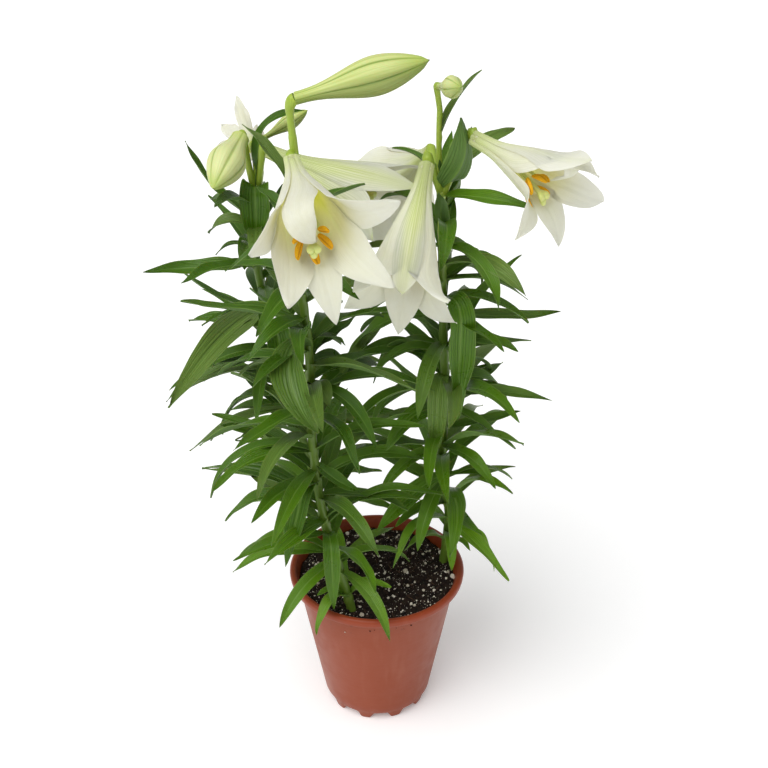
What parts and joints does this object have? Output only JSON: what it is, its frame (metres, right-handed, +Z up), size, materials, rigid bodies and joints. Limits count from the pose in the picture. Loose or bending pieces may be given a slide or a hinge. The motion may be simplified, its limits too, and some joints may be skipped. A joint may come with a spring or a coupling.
{
  "type": "potted easter lily",
  "caption": "Easter lily in a terracotta-coloured nursery pot: tall leafy stems with white trumpet flowers and green buds, standing in dark potting soil.",
  "frame": {"origin": "middle of the pot's base, on the surface that the pot stands on", "axes": "+Z up, -Y towards the viewer that the front flower faces, +X to the viewer's right"},
  "size_m": [0.386, 0.3711, 0.69],
  "materials": {
    "pot_plastic": "smooth terracotta-coloured plastic with a soft sheen",
    "soil": "dark crumbly peat mix with white perlite grains",
    "petals": "satin white petals, green-yellow at the base and along the midribs",
    "stamens": "powdery orange anthers on pale green filaments",
    "buds": "satin yellow-green with darker ribs",
    "leaves": "glossy deep green with parallel veins"
  },
  "bodies": {
    "root": {"pot": "pot_plastic", "soil": "soil", "flower_front": "petals", "flower_centre": "petals", "flower_right": "petals", "flower_back_right": "petals", "flower_long": "petals", "flower_back_left": "petals", "stamens_and_pistil_front": "stamens", "stamens_and_pistil_centre": "stamens", "stamens_and_pistil_right": "stamens", "stamens_and_pistil_back_right": "stamens", "stamens_and_pistil_long": "stamens", "stamens_and_pistil_back_left": "stamens", "bud_large": "buds", "bud_pale": "buds", "bud_small_left": "buds", "bud_small_right": "buds", "leafy_stem_front_left": "leaves", "leafy_stem_right": "leaves", "leafy_stem_back_left": "leaves"}
  },
  "joints": []
}
